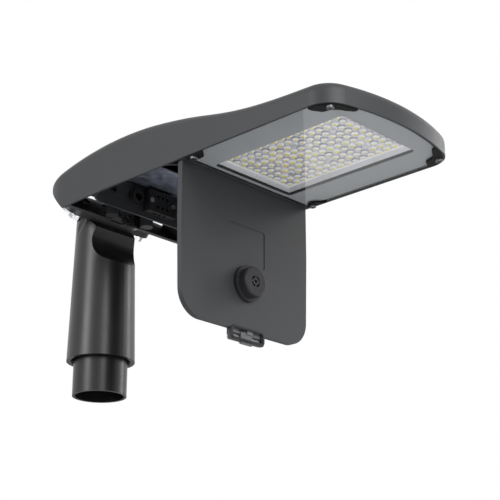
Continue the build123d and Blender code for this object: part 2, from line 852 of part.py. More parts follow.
with BuildPart() as reflector_frame:
    well_middle = (mask_low_x + mask_high_x) / 2
    array_middle = array_low_x + module_columns * module_size / 2
    with BuildSketch(level(gasket_top + mask_thickness)):
        with Locations((well_middle, 0)):
            Rectangle(mask_high_x - mask_low_x + 2 * well_wall, 2 * (mask_half + well_wall))
            Rectangle(mask_high_x - mask_low_x, 2 * mask_half, mode=Mode.SUBTRACT)
    extrude(amount=board_height - gasket_top - mask_thickness)
    with BuildSketch(level(board_height)):
        with Locations((well_middle, 0)):
            Rectangle(mask_high_x - mask_low_x + well_wall, 2 * mask_half + well_wall)
        with Locations((array_middle, 0)):
            Rectangle(
                module_columns * module_size + 2 * lens_edge_gap,
                module_rows * module_size + 2 * lens_edge_gap,
                mode=Mode.SUBTRACT,
            )
    extrude(amount=-well_ring)
reflector_frame.part.label = "reflector_frame"
export_step(reflector_frame.part, "parts/reflector_frame.step")

with BuildPart() as led_board:
    with BuildSketch(level(board_height)):
        with Locations((well_middle + 1, 0)):
            Rectangle(mask_high_x - mask_low_x + 4, 2 * mask_half + 12)
        with Locations(module_places):
            Circle(module_screw_radius + thread_fit, mode=Mode.SUBTRACT)
    extrude(amount=board_thickness)
led_board.part.label = "led_board"
export_step(led_board.part, "parts/led_board.step")

with BuildPart() as led_chips:
    with BuildSketch(level(board_height)):
        with Locations(module_places):
            with GridLocations(led_pitch, led_pitch, led_rows, led_rows):
                Rectangle(chip_size, chip_size)
            Rectangle(2 * chip_size, 2 * chip_size, mode=Mode.SUBTRACT)
    extrude(amount=-chip_height)
led_chips.part.label = "led_chips"
export_step(led_chips.part, "parts/led_chips.step")

with BuildPart() as lens_pattern:
    with BuildSketch(level(board_height)):
        Rectangle(module_size - 2 * lens_edge_gap, module_size - 2 * lens_edge_gap)
    extrude(amount=-lens_plate)
    with Locations(Plane(origin=(0, 0, glass_height + board_height - lens_plate), z_dir=(0, 0, -1))):
        with Locations(lens_places):
            Cone(lens_foot_radius, lens_top_radius, lens_height, align=(Align.CENTER, Align.CENTER, Align.MIN))
    with BuildSketch(level(board_height)):
        Rectangle(module_size - 2 * lens_rim, module_size - 2 * lens_rim)
        Circle(lens_pillar, mode=Mode.SUBTRACT)
    extrude(amount=-lens_pocket, mode=Mode.SUBTRACT)
    with BuildSketch(level(board_height)):
        Circle(module_screw_radius + thread_fit)
    extrude(amount=-lens_plate, mode=Mode.SUBTRACT)

for number, (module_x, module_y) in enumerate(module_places, start=1):
    with BuildPart() as lens_module:
        add(lens_pattern.part.moved(Location((module_x, module_y, 0))))
    lens_module.part.label = f"lens_module_{number}"
    export_step(lens_module.part, f"parts/lens_module_{number}.step")

with BuildPart() as module_screws:
    with BuildSketch(level(board_height - lens_plate)):
        with Locations(module_places):
            Circle(module_screw_radius)
    extrude(amount=lens_plate + module_screw_depth - 0.4)
    with BuildSketch(level(board_height - lens_plate)):
        with Locations(module_places):
            Circle(module_screw_head)
            RegularPolygon(module_screw_radius / 2, 6, major_radius=False, mode=Mode.SUBTRACT)
    extrude(amount=-module_screw_head_height)
module_screws.part.label = "module_screws"
export_step(module_screws.part, "parts/module_screws.step")

# Fittings of the gear compartment

with BuildPart() as mounting_plate:
    with BuildSketch(level(plate_height)):
        with Locations(((plate_low_x + plate_high_x) / 2, 0)):
            RectangleRounded(plate_high_x - plate_low_x, 2 * plate_half, 4)
        with Locations([(x, y) for x in plate_post_x for y in (-plate_post_half, plate_post_half)]):
            Circle(plate_screw_radius + thread_fit, mode=Mode.SUBTRACT)
    extrude(amount=plate_thickness)
mounting_plate.part.label = "mounting_plate"
export_step(mounting_plate.part, "parts/mounting_plate.step")

with BuildPart() as plate_screws:
    with BuildSketch(level(plate_height)):
        with Locations([(x, y) for x in plate_post_x for y in (-plate_post_half, plate_post_half)]):
            Circle(plate_screw_radius)
    extrude(amount=plate_screw_length)
    with BuildSketch(level(plate_height)):
        with Locations([(x, y) for x in plate_post_x for y in (-plate_post_half, plate_post_half)]):
            Circle(plate_screw_head)
            RegularPolygon(clip_socket_flats / 2, 6, major_radius=False, mode=Mode.SUBTRACT)
    extrude(amount=-plate_screw_radius)
plate_screws.part.label = "plate_screws"
export_step(plate_screws.part, "parts/plate_screws.step")

with BuildPart() as terminal_block:
    terminal_middle = (terminal_low_y + terminal_high_y) / 2
    terminal_width = terminal_high_y - terminal_low_y
    with BuildSketch(across(rim_rear + rim_wall)):
        with Locations((terminal_middle, terminal_foot + terminal_height / 2)):
            RectangleRounded(terminal_width, terminal_height, 1)
    extrude(amount=terminal_depth)
    # wire entries from below and the wells of the clamp screws
    with BuildSketch(level(terminal_foot)):
        with Locations((rim_rear + rim_wall + terminal_depth / 2, terminal_middle)):
            with GridLocations(1, terminal_pitch, 1, terminal_ways):
                Circle(2.2)
    extrude(amount=8, mode=Mode.SUBTRACT)
    with BuildSketch(across(rim_rear + rim_wall + terminal_depth)):
        with Locations((terminal_middle, terminal_foot + terminal_height / 2)):
            with GridLocations(terminal_pitch, 12, terminal_ways, 2):
                Circle(2)
    extrude(amount=-3, mode=Mode.SUBTRACT)
    with BuildSketch(across(rim_rear + rim_wall)):
        with Locations([(y, terminal_foot + terminal_height / 2) for y in terminal_screw_y]):
            Circle(terminal_screw_radius + thread_fit)
    extrude(amount=terminal_depth, mode=Mode.SUBTRACT)
terminal_block.part.label = "terminal_block"
export_step(terminal_block.part, "parts/terminal_block.step")

with BuildPart() as terminal_screws:
    with BuildSketch(across(rim_rear)):
        with Locations([(y, terminal_foot + terminal_height / 2) for y in terminal_screw_y]):
            Circle(terminal_screw_radius)
    extrude(amount=rim_wall + terminal_depth)
    with BuildSketch(across(rim_rear + rim_wall + terminal_depth)):
        with Locations([(y, terminal_foot + terminal_height / 2) for y in terminal_screw_y]):
            Circle(1.8 * terminal_screw_radius)
    extrude(amount=0.8)
terminal_screws.part.label = "terminal_screws"
export_step(terminal_screws.part, "parts/terminal_screws.step")

with BuildPart() as surge_arrester:
    with BuildSketch(level(arrester_foot)):
        with Locations(((arrester_low_x + arrester_high_x) / 2, (arrester_low_y + arrester_high_y) / 2)):
            RectangleRounded(arrester_high_x - arrester_low_x, arrester_high_y - arrester_low_y, 3)
    extrude(amount=plate_height - arrester_foot)
    fillet(surge_arrester.faces().sort_by(Axis.Z)[0].edges(), 1.5)
surge_arrester.part.label = "surge_arrester"
export_step(surge_arrester.part, "parts/surge_arrester.step")

with BuildPart() as cable_gland:
    with BuildSketch(across(rim_rear)):
        with Locations((gland_y, gland_height)):
            RegularPolygon(gland_nut_radius - 1, 6, major_radius=False)
    extrude(amount=-4)
    with BuildSketch(across(rim_rear - 4)):
        with Locations((gland_y, gland_height)):
            Circle(gland_nut_radius - 1.5)
    extrude(amount=-8)
    with BuildSketch(across(rim_rear)):
        with Locations((gland_y, gland_height)):
            Circle(gland_radius)
    extrude(amount=rim_wall + 6)
    with BuildSketch(across(rim_rear - 12)):
        with Locations((gland_y, gland_height)):
            Circle(gland_radius - 3)
    extrude(amount=rim_wall + 18, mode=Mode.SUBTRACT)
    with BuildSketch(across(rim_rear - 11)):
        with Locations((gland_y, gland_height)):
            Circle(gland_radius - 1)
    extrude(amount=6, mode=Mode.SUBTRACT)
cable_gland.part.label = "cable_gland"
export_step(cable_gland.part, "parts/cable_gland.step")

with BuildPart() as gland_seal:
    with BuildSketch(across(rim_rear - 11)):
        with Locations((gland_y, gland_height)):
            Circle(gland_radius - 1)
            Circle(gland_radius - 4, mode=Mode.SUBTRACT)
    extrude(amount=6)
gland_seal.part.label = "gland_seal"
export_step(gland_seal.part, "parts/gland_seal.step")

with BuildPart() as gland_nut:
    with BuildSketch(across(rim_rear + rim_wall)):
        with Locations((gland_y, gland_height)):
            Circle(gland_nut_radius)
            Circle(gland_radius + thread_fit, mode=Mode.SUBTRACT)
            with PolarLocations(gland_nut_radius, 6):
                Rectangle(1.6, 3, mode=Mode.SUBTRACT)
    extrude(amount=4)
gland_nut.part.label = "gland_nut"
export_step(gland_nut.part, "parts/gland_nut.step")

with BuildPart() as breather_valve:
    with BuildSketch(across(rim_rear)):
        with Locations((breather_y, gland_height)):
            Circle(2 * breather_radius)
            with PolarLocations(breather_radius, 6):
                Circle(0.8, mode=Mode.SUBTRACT)
    extrude(amount=-2.5)
    with BuildSketch(across(rim_rear)):
        with Locations((breather_y, gland_height)):
            Circle(breather_radius)
            Circle(breather_radius - 1.5, mode=Mode.SUBTRACT)
    extrude(amount=rim_wall + 1.5)
breather_valve.part.label = "breather_valve"
export_step(breather_valve.part, "parts/breather_valve.step")

# Keeper for the latch, a bent strip that hangs in the notch of the tail

with BuildPart() as keeper:
    with BuildSketch(side(keeper_half)):
        with BuildLine():
            Polyline(
                (keeper_x - 7.5, keeper_top),
                (keeper_x + keeper_thickness, keeper_top),
                (keeper_x + keeper_thickness, keeper_foot + keeper_thickness),
                (keeper_x + keeper_lip, keeper_foot + keeper_thickness),
                (keeper_x + keeper_lip, keeper_foot),
                (keeper_x, keeper_foot),
                (keeper_x, keeper_top - keeper_thickness),
                (keeper_x - 7.5, keeper_top - keeper_thickness),
                close=True,
            )
        make_face()
    extrude(amount=2 * keeper_half)
    with BuildSketch(level(keeper_top)):
        with Locations(keeper_screws_at):
            Circle(keeper_screw_radius + thread_fit)
    extrude(amount=-keeper_thickness, mode=Mode.SUBTRACT)
keeper.part.label = "keeper"
export_step(keeper.part, "parts/keeper.step")

with BuildPart() as keeper_screws:
    with BuildSketch(level(keeper_top - keeper_thickness)):
        with Locations(keeper_screws_at):
            Circle(keeper_screw_radius)
    extrude(amount=9)
    with BuildSketch(level(keeper_top - keeper_thickness)):
        with Locations(keeper_screws_at):
            Circle(1.7 * keeper_screw_radius)
            RegularPolygon(keeper_screw_radius / 2, 6, major_radius=False, mode=Mode.SUBTRACT)
    extrude(amount=-keeper_screw_radius)
keeper_screws.part.label = "keeper_screws"
export_step(keeper_screws.part, "parts/keeper_screws.step")

with BuildPart() as hinge_pins:
    for hand in (-1, 1):
        with BuildSketch(side(hand * knuckle_middle + hinge_pin_length / 2)):
            with Locations((hinge_x, hinge_height)):
                Circle(hinge_pin_radius)
        extrude(amount=hinge_pin_length)
hinge_pins.part.label = "hinge_pins"
export_step(hinge_pins.part, "parts/hinge_pins.step")

# Door of the gear compartment, hanging open from its hinge

with BuildPart() as door:
    extrude(door_zone(0, 0), amount=door_plate)
    extrude(door_zone(0, 0) - door_zone(0, door_return), amount=door_depth)
    with BuildSketch(hanging(door_plate)):
        with Locations((door_top, 0)):
            Rectangle(2 * door_depth, 2 * (door_half - door_return))
            Rectangle(-2 * (door_return_top - door_top), 3 * door_half)
    extrude(amount=door_depth, mode=Mode.SUBTRACT)
    # arms and knuckles of the hinge
    for hand in (-1, 1):
        with BuildSketch(side(hand * knuckle_middle + knuckle_width / 2)):
            with Locations((hinge_x, hinge_height)):
                Circle(knuckle_radius)
            with Locations(((hinge_x - knuckle_radius + door_face) / 2, hinge_height - 5.5)):
                Rectangle(door_face - hinge_x + knuckle_radius, 11)
            with Locations((hinge_x, hinge_height)):
                Circle(hinge_pin_radius + knuckle_fit, mode=Mode.SUBTRACT)
        extrude(amount=knuckle_width)
    # shallow panel on the face
    with BuildSketch(hanging(0)):
        with Locations(((door_panel_top + door_panel_foot) / 2, 0)):
            RectangleRounded(door_panel_top - door_panel_foot, 2 * door_panel_half, 3)
    extrude(amount=0.5, mode=Mode.SUBTRACT)
    # posts of the gear tray
    with BuildSketch(hanging(door_plate)):
        with Locations(tray_posts):
            Circle(tray_post_radius)
            Circle(tray_screw_radius + thread_fit, mode=Mode.SUBTRACT)
    extrude(amount=door_face - door_plate - tray_front)
    # frame of the latch below the door's foot, with the slide's pocket and slot
    with BuildSketch(hanging(0)):
        with Locations(((latch_foot + latch_top) / 2, latch_middle)):
            Rectangle(latch_top - latch_foot, 2 * latch_half)
    extrude(amount=latch_depth)
    with BuildSketch(hanging(-1)):
        with Locations(((latch_foot + latch_bar + latch_window_top) / 2, latch_middle)):
            Rectangle(latch_window_top - latch_foot - latch_bar, 2 * (latch_half - latch_bar))
    extrude(amount=door_depth + 2, mode=Mode.SUBTRACT)
    with BuildSketch(hanging(door_plate)):
        with Locations(((latch_foot + latch_bar + latch_top) / 2, latch_middle)):
            Rectangle(latch_top - latch_foot - latch_bar, 2 * (latch_half - latch_skin))
    extrude(amount=door_depth, mode=Mode.SUBTRACT)
    with BuildSketch(hanging(door_face - slide_tip_face - slide_gap)):
        with Locations((latch_foot, latch_middle)):
            Rectangle(3 * latch_bar, 2 * (slide_tip_half + slide_gap))
    extrude(amount=slide_thickness + 2 * slide_gap, mode=Mode.SUBTRACT)
    # lips behind the slide
    for hand in (-1, 1):
        rail_middle = latch_middle + hand * (latch_half - latch_skin / 2)
        lip_half = (latch_skin + rail_reach) / 2
        with BuildSketch(hanging(latch_depth)):
            with Locations(((rail_foot + latch_top) / 2, rail_middle)):
                Rectangle(latch_top - rail_foot, latch_skin)
        extrude(amount=rail_depth - latch_depth)
        with BuildSketch(hanging(rail_depth - rail_lip)):
            with Locations(((rail_foot + latch_top) / 2, latch_middle + hand * (latch_half - lip_half))):
                Rectangle(latch_top - rail_foot, 2 * lip_half)
        extrude(amount=rail_lip)
    # hole for the sensor socket
    with BuildSketch(hanging(0)):
        with Locations((socket_height, 0)):
            Circle(socket_stem_radius + 0.1)
    extrude(amount=door_plate, mode=Mode.SUBTRACT)
door.part.label = "door"
export_step(door.part, "parts/door.step")

with BuildPart() as door_gasket:
    seal = rim_zone(hanging(door_plate), closed_shift, 0)
    seal -= rim_zone(hanging(door_plate), closed_shift, rim_wall + 1)
    extrude(seal, amount=door_gasket_thickness)
door_gasket.part.label = "door_gasket"
export_step(door_gasket.part, "parts/door_gasket.step")

with BuildPart() as latch_slide:
    with BuildSketch(hanging(door_face - slide_face)):
        with Locations(((slide_foot + slide_top) / 2, latch_middle)):
            Rectangle(slide_top - slide_foot, 2 * (latch_half - latch_skin - slide_gap))
    extrude(amount=slide_thickness)
    with BuildSketch(hanging(door_face - slide_tip_face)):
        with Locations(((latch_foot - slide_tip_drop + slide_foot + 2) / 2, latch_middle)):
            Rectangle(slide_foot + 2 - latch_foot + slide_tip_drop, 2 * slide_tip_half)
    extrude(amount=slide_thickness)
    with BuildSketch(hanging(door_face - slide_face)):
        with Locations(((thumb_foot + thumb_top) / 2, latch_middle + thumb_offset)):
            Rectangle(thumb_top - thumb_foot, 2 * thumb_half)
    extrude(amount=-thumb_depth)
    with BuildSketch(hanging(door_face - slide_face)):
        with Locations(((slide_foot + 2.2 + slide_top - 1.8) / 2, latch_middle - 2 * thumb_half + 0.5)):
            Rectangle(slide_top - 1.8 - slide_foot - 2.2, 2 * thumb_half)
    extrude(amount=slide_thickness / 2, mode=Mode.SUBTRACT)
latch_slide.part.label = "latch_slide"
export_step(latch_slide.part, "parts/latch_slide.step")

# Control gear carried by the door

with BuildPart() as gear_tray:
    with BuildSketch(hanging(door_face - tray_front)):
        with Locations((driver_middle, 0)):
            RectangleRounded(driver_length + 2 * tray_end, 2 * (driver_half + tray_side), 4)
        with Locations(tray_posts):
            Circle(tray_screw_radius + thread_fit, mode=Mode.SUBTRACT)
        with Locations(driver_screws_at):
            Circle(tray_screw_radius + thread_fit, mode=Mode.SUBTRACT)
    extrude(amount=tray_thickness)
gear_tray.part.label = "gear_tray"
export_step(gear_tray.part, "parts/gear_tray.step")

with BuildPart() as tray_screws:
    with BuildSketch(hanging(door_face - tray_front + tray_thickness)):
        with Locations(tray_posts):
            Circle(tray_screw_radius)
    extrude(amount=-tray_screw_length)
    with BuildSketch(hanging(door_face - tray_front + tray_thickness)):
        with Locations(tray_posts):
            Circle(plate_screw_head)
            RegularPolygon(clip_socket_flats / 2, 6, major_radius=False, mode=Mode.SUBTRACT)
    extrude(amount=tray_screw_radius)
tray_screws.part.label = "tray_screws"
export_step(tray_screws.part, "parts/tray_screws.step")

with BuildPart() as driver:
    with BuildSketch(hanging(door_face - driver_rear - driver_depth)):
        with Locations((driver_middle, 0)):
            RectangleRounded(driver_length, 2 * driver_half, driver_round)
    extrude(amount=driver_depth)
    fillet(driver.faces().sort_by(Axis.X)[0].edges(), driver_round / 2)
    with BuildSketch(hanging(door_face - driver_rear)):
        with Locations(driver_screws_at):
            Circle(plate_screw_head + 0.3)
    extrude(amount=-2 * driver_round, mode=Mode.SUBTRACT)
    with BuildSketch(hanging(door_face - driver_rear)):
        with Locations(driver_screws_at):
            Circle(tray_screw_radius + thread_fit)
    extrude(amount=-driver_depth, mode=Mode.SUBTRACT)
driver.part.label = "driver"
export_step(driver.part, "parts/driver.step")

with BuildPart() as driver_screws:
    with BuildSketch(hanging(door_face - driver_rear - 2 * driver_round)):
        with Locations(driver_screws_at):
            Circle(tray_screw_radius)
    extrude(amount=2 * driver_round - driver_depth - 2 * tray_thickness)
    with BuildSketch(hanging(door_face - driver_rear - 2 * driver_round)):
        with Locations(driver_screws_at):
            Circle(plate_screw_head)
            RegularPolygon(clip_socket_flats / 2, 6, major_radius=False, mode=Mode.SUBTRACT)
    extrude(amount=tray_screw_radius)
driver_screws.part.label = "driver_screws"
export_step(driver_screws.part, "parts/driver_screws.step")

# Sensor socket on the door

with BuildPart() as sensor_socket:
    with BuildSketch(hanging(-socket_gasket_thickness)):
        with Locations((socket_height, 0)):
            Circle(socket_base_radius)
    extrude(amount=-socket_base_thickness)
    with BuildSketch(hanging(-socket_gasket_thickness - socket_base_thickness)):
        with Locations((socket_height, 0)):
            Circle(socket_cap_radius)
    extrude(amount=-socket_cap_height)
    fillet(sensor_socket.faces().sort_by(Axis.X)[-1].edges(), 1.5)
    with BuildSketch(hanging(-socket_gasket_thickness)):
        with Locations((socket_height, 0)):
            Circle(socket_stem_radius)
    extrude(amount=socket_stem_length + socket_gasket_thickness)
    with BuildSketch(hanging(-socket_gasket_thickness - socket_base_thickness - socket_cap_height)):
        with Locations((socket_height, 0)):
            Circle(socket_slot_width)
            for quarter in range(4):
                with BuildLine(mode=Mode.PRIVATE) as slot_arc:
                    CenterArc((0, 0), socket_slot_radius, 90 * quarter + 18, 54)
                SlotArc(slot_arc.edge(), socket_slot_width)
    extrude(amount=4, mode=Mode.SUBTRACT)
    with BuildSketch(hanging(socket_stem_length)):
        with Locations((socket_height, 0)):
            with PolarLocations(socket_slot_radius, 4, start_angle=45):
                Circle(socket_contact_radius + thread_fit)
    extrude(amount=-socket_contact_length, mode=Mode.SUBTRACT)
sensor_socket.part.label = "sensor_socket"
export_step(sensor_socket.part, "parts/sensor_socket.step")

with BuildPart() as socket_gasket:
    with BuildSketch(hanging(0)):
        with Locations((socket_height, 0)):
            Circle(socket_base_radius)
            Circle(socket_stem_radius + 0.3, mode=Mode.SUBTRACT)
    extrude(amount=-socket_gasket_thickness)
socket_gasket.part.label = "socket_gasket"
export_step(socket_gasket.part, "parts/socket_gasket.step")

with BuildPart() as socket_nut:
    with BuildSketch(hanging(door_plate)):
        with Locations((socket_height, 0)):
            Circle(socket_nut_radius)
            Circle(socket_stem_radius + thread_fit, mode=Mode.SUBTRACT)
            with PolarLocations(socket_nut_radius, 8):
                Rectangle(2, 3, mode=Mode.SUBTRACT)
    extrude(amount=socket_nut_thickness)
socket_nut.part.label = "socket_nut"
export_step(socket_nut.part, "parts/socket_nut.step")

with BuildPart() as socket_contacts:
    with BuildSketch(hanging(socket_stem_length - socket_contact_length / 2)):
        with Locations((socket_height, 0)):
            with PolarLocations(socket_slot_radius, 4, start_angle=45):
                Circle(socket_contact_radius)
    extrude(amount=1.5 * socket_contact_length - 0.5)
socket_contacts.part.label = "socket_contacts"
export_step(socket_contacts.part, "parts/socket_contacts.step")
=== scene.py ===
import bpy
import bmesh
import json
import math
from mathutils import Matrix, Vector


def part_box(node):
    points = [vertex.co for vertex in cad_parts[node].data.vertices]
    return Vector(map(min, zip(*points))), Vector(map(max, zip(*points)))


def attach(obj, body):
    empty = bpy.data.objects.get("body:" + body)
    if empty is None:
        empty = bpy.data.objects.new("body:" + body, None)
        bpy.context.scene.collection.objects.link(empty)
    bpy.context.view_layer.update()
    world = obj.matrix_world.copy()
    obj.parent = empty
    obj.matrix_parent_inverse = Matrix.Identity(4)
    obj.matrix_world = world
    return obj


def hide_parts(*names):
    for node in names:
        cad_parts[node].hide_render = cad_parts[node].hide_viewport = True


bl_info = {
    "name": "Street light finish",
    "version": (1, 0, 0),
    "blender": (4, 5, 0),
    "location": "3D View > Sidebar > Street light",
    "description": "Dresses the packed LED street light and sets its studio",
    "category": "Object",
}

# LED street light on a pole top, seen from below with its gear door hanging open.
# Metres, +Z up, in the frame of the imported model: the origin is on the pole's axis
# at the lower end of the pole stub, and +X points towards the luminaire's nose.

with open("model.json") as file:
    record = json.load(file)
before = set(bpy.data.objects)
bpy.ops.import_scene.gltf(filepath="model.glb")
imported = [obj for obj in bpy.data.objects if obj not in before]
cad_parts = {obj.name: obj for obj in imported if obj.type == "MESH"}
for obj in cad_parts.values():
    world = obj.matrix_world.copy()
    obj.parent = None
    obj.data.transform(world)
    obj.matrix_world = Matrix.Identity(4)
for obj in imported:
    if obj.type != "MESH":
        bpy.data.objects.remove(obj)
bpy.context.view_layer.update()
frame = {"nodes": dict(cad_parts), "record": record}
nodes = frame["nodes"]

MM = 0.001
GLASS_LOW, GLASS_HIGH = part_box("glass")
DOOR_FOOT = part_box("door")[0][2]
SLIDE_LOW, SLIDE_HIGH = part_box("latch_slide")
LENS_NODES = [name for name in sorted(nodes) if name.startswith("lens_module")]
FLOOR_HALF = 30.0


def linear(code):
    """Turns an sRGB colour such as #58595b into linear red, green, blue and alpha."""
    channels = []
    for start in (1, 3, 5):
        value = int(code[start:start + 2], 16) / 255
        channels.append(value / 12.92 if value <= 0.04045 else ((value + 0.055) / 1.055) ** 2.4)
    return (*channels, 1.0)


def add_node(tree, kind, settings=None, values=None, links=None):
    """Adds one node with its settings, its socket values and the sockets that feed it."""
    node = tree.nodes.new(kind)
    for name, value in (settings or {}).items():
        setattr(node, name, value)
    for socket, value in (values or {}).items():
        node.inputs[socket].default_value = value
    for socket, source in (links or {}).items():
        tree.links.new(source, node.inputs[socket])
    return node


def new_surface(name, **values):
    """A material with one Principled shader, whose constants stand on its own sockets."""
    material = bpy.data.materials.new(name)
    material.use_nodes = True
    tree = material.node_tree
    shader = tree.nodes["Principled BSDF"]
    for socket, value in values.items():
        shader.inputs[socket.replace("_", " ")].default_value = value
    return material, tree, shader


def object_place(tree, scale=(1.0, 1.0, 1.0)):
    """Object coordinates, stretched by scale, as the vector of a pattern."""
    place = add_node(tree, "ShaderNodeTexCoord")
    mapping = add_node(tree, "ShaderNodeMapping", values={"Scale": scale},
                       links={"Vector": place.outputs["Object"]})
    return mapping.outputs["Vector"]


def shade_ramp(ramp, base, dark, light):
    """Sets a ramp from a darker to a lighter shade of one colour."""
    for element, place, shade in zip(ramp.color_ramp.elements, (0.3, 0.7), (dark, light)):
        element.position = place
        element.color = (base[0] * shade, base[1] * shade, base[2] * shade, 1.0)


def powder_coat(name, colour, rough=0.46, level=0.3):
    """Polyester powder coat, sprayed and baked: even colour with a fine orange peel."""
    material, tree, shader = new_surface(name, Roughness=rough, IOR=1.5, Specular_IOR_Level=level)
    place = object_place(tree)
    # Orange peel runs in waves of about 1.6 mm
    waves = add_node(tree, "ShaderNodeTexNoise", values={"Scale": 620.0, "Detail": 2.0},
                     links={"Vector": place})
    bump = add_node(tree, "ShaderNodeBump", values={"Strength": 0.12, "Distance": 0.08 * MM},
                    links={"Height": waves.outputs["Fac"]})
    # The film's thickness varies over 60 mm or so, and its shade and gloss with it
    film = add_node(tree, "ShaderNodeTexNoise", values={"Scale": 16.0, "Detail": 3.0},
                    links={"Vector": place})
    tone = add_node(tree, "ShaderNodeValToRGB", links={"Fac": film.outputs["Fac"]})
    shade_ramp(tone, colour, 0.93, 1.05)
    sheen = add_node(tree, "ShaderNodeMapRange",
                     values={"From Min": 0.3, "From Max": 0.7,
                             "To Min": rough - 0.03, "To Max": rough + 0.04},
                     links={"Value": film.outputs["Fac"]})
    tree.links.new(tone.outputs["Color"], shader.inputs["Base Color"])
    tree.links.new(sheen.outputs["Result"], shader.inputs["Roughness"])
    tree.links.new(bump.outputs["Normal"], shader.inputs["Normal"])
    return material


def steel(name, colour, rough=0.26):
    """Stainless steel, turned and tumbled: fine turning marks and small changes of gloss."""
    material, tree, shader = new_surface(name, Metallic=1.0, Roughness=rough)
    # Real marks are finer; waves of about 1.1 mm still show on a screw head
    marks = add_node(tree, "ShaderNodeTexNoise", values={"Scale": 900.0, "Detail": 3.0},
                     links={"Vector": object_place(tree)})
    gloss = add_node(tree, "ShaderNodeMapRange",
                     values={"From Min": 0.3, "From Max": 0.7,
                             "To Min": rough - 0.06, "To Max": rough + 0.1},
                     links={"Value": marks.outputs["Fac"]})
    bump = add_node(tree, "ShaderNodeBump", values={"Strength": 0.15, "Distance": 0.03 * MM},
                    links={"Height": marks.outputs["Fac"]})
    shader.inputs["Base Color"].default_value = colour
    tree.links.new(gloss.outputs["Result"], shader.inputs["Roughness"])
    tree.links.new(bump.outputs["Normal"], shader.inputs["Normal"])
    return material


def galvanised(name, colour):
    """Hot-dip galvanised sheet: zinc crystals of about 6 mm, each at its own tone."""
    material, tree, shader = new_surface(name, Metallic=0.85, Roughness=0.4)
    crystals = add_node(tree, "ShaderNodeTexVoronoi", values={"Scale": 160.0},
                        links={"Vector": object_place(tree)})
    tone = add_node(tree, "ShaderNodeValToRGB", links={"Fac": crystals.outputs["Color"]})
    dark, light = tone.color_ramp.elements
    dark.color = (colour[0] * 0.7, colour[1] * 0.7, colour[2] * 0.72, 1.0)
    light.color = (colour[0] * 1.25, colour[1] * 1.25, colour[2] * 1.28, 1.0)
    tree.links.new(tone.outputs["Color"], shader.inputs["Base Color"])
    gloss = add_node(tree, "ShaderNodeMapRange", values={"To Min": 0.28, "To Max": 0.5},
                     links={"Value": crystals.outputs["Color"]})
    tree.links.new(gloss.outputs["Result"], shader.inputs["Roughness"])
    return material


def moulded(name, colour, rough=0.5, level=0.3):
    """Injection-moulded plastic with a spark-eroded grain of about 0.8 mm."""
    material, tree, shader = new_surface(name, Roughness=rough, IOR=1.5, Specular_IOR_Level=level)
    place = object_place(tree)
    texture = add_node(tree, "ShaderNodeTexNoise", values={"Scale": 1300.0, "Detail": 2.0},
                       links={"Vector": place})
    bump = add_node(tree, "ShaderNodeBump", values={"Strength": 0.2, "Distance": 0.04 * MM},
                    links={"Height": texture.outputs["Fac"]})
    # The melt's flow leaves faint clouds of about 22 mm
    flow = add_node(tree, "ShaderNodeTexNoise", values={"Scale": 45.0, "Detail": 2.0},
                    links={"Vector": place})
    tone = add_node(tree, "ShaderNodeValToRGB", links={"Fac": flow.outputs["Fac"]})
    shade_ramp(tone, colour, 0.92, 1.06)
    tree.links.new(tone.outputs["Color"], shader.inputs["Base Color"])
    tree.links.new(bump.outputs["Normal"], shader.inputs["Normal"])
    return material


def clear_pane(name, tint, rough):
    """Toughened float glass: even and smooth, and lamp light goes straight through."""
    material, tree, shader = new_surface(name, IOR=1.5, Transmission_Weight=1.0,
                                         Specular_IOR_Level=0.3)
    shader.inputs["Base Color"].default_value = tint
    # The rollers of the toughening oven leave waves of about 30 mm
    waves = add_node(tree, "ShaderNodeTexNoise", values={"Scale": 33.0, "Detail": 1.0},
                     links={"Vector": object_place(tree)})
    gloss = add_node(tree, "ShaderNodeMapRange",
                     values={"From Min": 0.3, "From Max": 0.7,
                             "To Min": rough * 0.5, "To Max": rough * 1.5},
                     links={"Value": waves.outputs["Fac"]})
    tree.links.new(gloss.outputs["Result"], shader.inputs["Roughness"])
    through = add_node(tree, "ShaderNodeBsdfTransparent", values={"Color": tint})
    path = add_node(tree, "ShaderNodeLightPath")
    mix = add_node(tree, "ShaderNodeMixShader",
                   links={"Fac": path.outputs["Is Shadow Ray"], 1: shader.outputs["BSDF"],
                          2: through.outputs["BSDF"]})
    tree.links.new(mix.outputs["Shader"], tree.nodes["Material Output"].inputs["Surface"])
    return material


